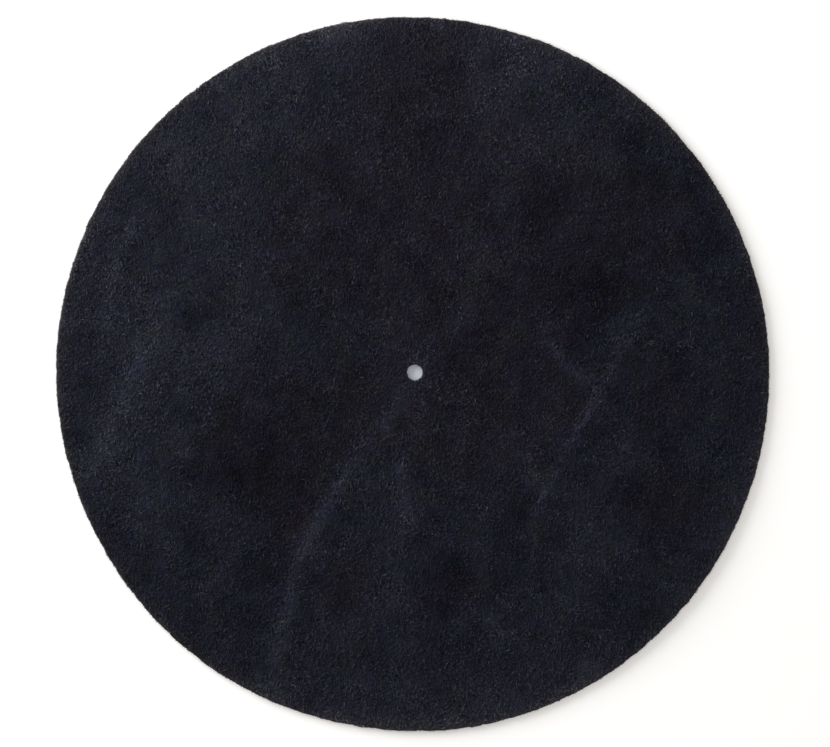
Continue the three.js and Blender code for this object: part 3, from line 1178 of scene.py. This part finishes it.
def make_floor(studio):
    """A plain pale floor that keeps the mat's shadow and is white away from it"""
    half = FLOOR_HALF
    mesh = bpy.data.meshes.new("floor")
    corners = [(-half, -half), (half, -half), (half, half), (-half, half)]
    mesh.from_pydata([(x, y, -FLOOR_DROP) for x, y in corners], [], [(0, 1, 2, 3)])
    floor = bpy.data.objects.new("floor", mesh)
    bpy.context.scene.collection.objects.link(floor)
    material = bpy.data.materials.new("pale_floor")
    nodes = Nodes(material)
    lit = nodes.add("ShaderNodeBsdfDiffuse", {}, {"Color": (*studio.floor_colour, 1)})
    glow = nodes.add("ShaderNodeEmission", {}, {"Color": (*studio.floor_glow, 1), "Strength": 1.0})
    white = nodes.add("ShaderNodeEmission", {}, {"Strength": 1.0})
    outside = nodes.add("ShaderNodeAddShader", {}, {0: lit.outputs[0], 1: glow.outputs[0]})
    # Painted light: in the hole the floor gets a faint blue glow in place of its glow outside
    painted_bounce = nodes.add("ShaderNodeEmission", {}, {"Color": (*studio.hole_bounce_glow, 1), "Strength": 1.0})
    inside = nodes.add("ShaderNodeAddShader", {}, {0: lit.outputs[0], 1: painted_bounce.outputs[0]})
    place = nodes.add("ShaderNodeTexCoord", {}, {}).outputs["Object"]
    length = nodes.add("ShaderNodeVectorMath", {"operation": "LENGTH"}, {0: place})
    distance = Shade(nodes, length.outputs["Value"])
    near_look = nodes.add("ShaderNodeMixShader", {}, {
        0: distance.rising(*OUT_OF_HOLE), 1: inside.outputs[0], 2: outside.outputs[0]})
    seen_look = nodes.add("ShaderNodeMixShader", {}, {
        0: distance.rising(*TO_WHITE), 1: near_look.outputs[0], 2: white.outputs[0]})
    look = nodes.add("ShaderNodeMixShader", {}, {
        0: seen_straight(nodes), 1: lit.outputs[0], 2: seen_look.outputs[0]})
    nodes.add("ShaderNodeOutputMaterial", {}, {"Surface": look.outputs[0]})
    mesh.materials.append(material)


WHITE = (1, 1, 1, 1)


def make_light(studio):
    """An even white sky, white where it is seen, and one large soft lamp"""
    world = bpy.data.worlds.new("studio")
    bpy.context.scene.world = world
    nodes = Nodes(world)
    sky = nodes.add("ShaderNodeBackground", {}, {"Color": WHITE, "Strength": studio.sky_level})
    white = nodes.add("ShaderNodeBackground", {}, {"Color": WHITE, "Strength": 1.0})
    look = nodes.add("ShaderNodeMixShader", {}, {
        0: seen_straight(nodes), 1: sky.outputs[0], 2: white.outputs[0]})
    nodes.add("ShaderNodeOutputWorld", {}, {"Surface": look.outputs[0]})
    lamp = bpy.data.lights.new("key", "AREA")
    lamp.shape = "DISK"
    lamp.size = studio.key_size
    facing = math.sin(studio.key_elevation)
    lamp.energy = studio.key_level * (math.pi * studio.key_distance) ** 2 / facing
    key = bpy.data.objects.new("key", lamp)
    level = math.cos(studio.key_elevation)
    away = Vector((
        level * math.cos(studio.key_bearing), level * math.sin(studio.key_bearing), facing))
    key.location = away * studio.key_distance
    key.rotation_mode = "QUATERNION"
    key.rotation_quaternion = away.to_track_quat("Z", "Y")
    bpy.context.scene.collection.objects.link(key)


# How near the lens the picture starts
CLIP_START = 0.05


def make_camera(studio):
    """The photograph's view: almost straight down, the mat's back at the top"""
    data = bpy.data.cameras.new("camera")
    data.lens = data.sensor_width * studio.camera_distance / studio.view_width
    data.clip_start = CLIP_START
    camera = bpy.data.objects.new("camera", data)
    level = math.sin(studio.camera_lean)
    away = Vector((level * math.cos(studio.camera_bearing), level * math.sin(studio.camera_bearing),
                   math.cos(studio.camera_lean)))
    pixel = studio.view_width / PHOTO_WIDTH
    aim = Vector((AIM_ASIDE[0] * pixel, AIM_ASIDE[1] * pixel, FACE_HEIGHT))
    camera.location = aim + away * studio.camera_distance
    right = Vector((0, 1, 0)).cross(away).normalized()
    up = away.cross(right)
    camera.rotation_mode = "QUATERNION"
    axes = ((right.x, up.x, away.x), (right.y, up.y, away.y), (right.z, up.z, away.z))
    camera.rotation_quaternion = Matrix(axes).to_quaternion()
    bpy.context.scene.collection.objects.link(camera)
    bpy.context.scene.camera = camera


class PLATTERMAT_OT_hide(bpy.types.Operator):
    """Makes the die-cut hide in place of the plain solid"""

    bl_idname = "platter_mat.make_hide"
    bl_label = "Make Hide"

    def execute(self, context):
        scene = context.scene
        made = make_hide(scene.platter_cut)
        made.data.materials.append(
            suede_material("suede_hide", scene.platter_dye, scene.platter_nap, False))
        return {"FINISHED"}


class PLATTERMAT_OT_nap(bpy.types.Operator):
    """Lays the nap's four layers of wisps on the hide"""

    bl_idname = "platter_mat.make_nap"
    bl_label = "Make Nap"

    def execute(self, context):
        scene = context.scene
        material = suede_material("suede_nap", scene.platter_dye, scene.platter_nap, True)
        for name, layer in NAP_LAYERS.items():
            made = make_nap_layer(name, layer, scene.platter_cut, scene.platter_nap)
            made.data.materials.append(material)
        return {"FINISHED"}


class PLATTERMAT_OT_fringes(bpy.types.Operator):
    """Sets the fringes of the rim and the spindle hole"""

    bl_idname = "platter_mat.make_fringes"
    bl_label = "Make Fringes"

    def execute(self, context):
        scene = context.scene
        cut, nap = scene.platter_cut, scene.platter_nap
        material = suede_material("suede_fringe", scene.platter_dye, nap, True)
        radii = (cut.diameter / 2 - cut.rim_allowance, cut.hole_diameter / 2)
        for (name, fringe), radius in zip(FRINGES.items(), radii):
            made = make_fringe(name, fringe, cut, nap, radius)
            made.data.materials.append(material)
        return {"FINISHED"}


class PLATTERMAT_OT_studio(bpy.types.Operator):
    """Sets up the floor, the light and the camera"""

    bl_idname = "platter_mat.make_studio"
    bl_label = "Make Studio"

    def execute(self, context):
        studio = context.scene.platter_studio
        make_floor(studio)
        make_light(studio)
        make_camera(studio)
        context.scene.view_settings.view_transform = "Standard"
        return {"FINISHED"}


OPERATORS = (PLATTERMAT_OT_hide, PLATTERMAT_OT_nap, PLATTERMAT_OT_fringes, PLATTERMAT_OT_studio)


class PLATTERMAT_PT_panel(bpy.types.Panel):
    """Lists the mat's sizes and colours, and the steps that make it"""

    bl_idname = "PLATTERMAT_PT_panel"
    bl_label = "Platter Mat"
    bl_space_type = "VIEW_3D"
    bl_region_type = "UI"
    bl_category = "Platter Mat"

    def draw(self, context):
        for group in GROUPS:
            box = self.layout.box()
            values = getattr(context.scene, group)
            for name in values.bl_rna.properties.keys():
                if name not in ("rna_type", "name"):
                    box.prop(values, name)
        for operator in OPERATORS:
            self.layout.operator(operator.bl_idname)


CLASSES = (*GROUPS.values(), *OPERATORS, PLATTERMAT_PT_panel)


def register():
    for each in CLASSES:
        bpy.utils.register_class(each)
    for name, group in GROUPS.items():
        setattr(bpy.types.Scene, name, bpy.props.PointerProperty(type=group))


def unregister():
    for name in GROUPS:
        delattr(bpy.types.Scene, name)
    for each in reversed(CLASSES):
        bpy.utils.unregister_class(each)


def main():
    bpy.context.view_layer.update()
    register()
    bpy.ops.platter_mat.make_hide()
    bpy.ops.platter_mat.make_nap()
    bpy.ops.platter_mat.make_fringes()
    bpy.ops.platter_mat.make_studio()


if __name__ == "__main__":
    main()
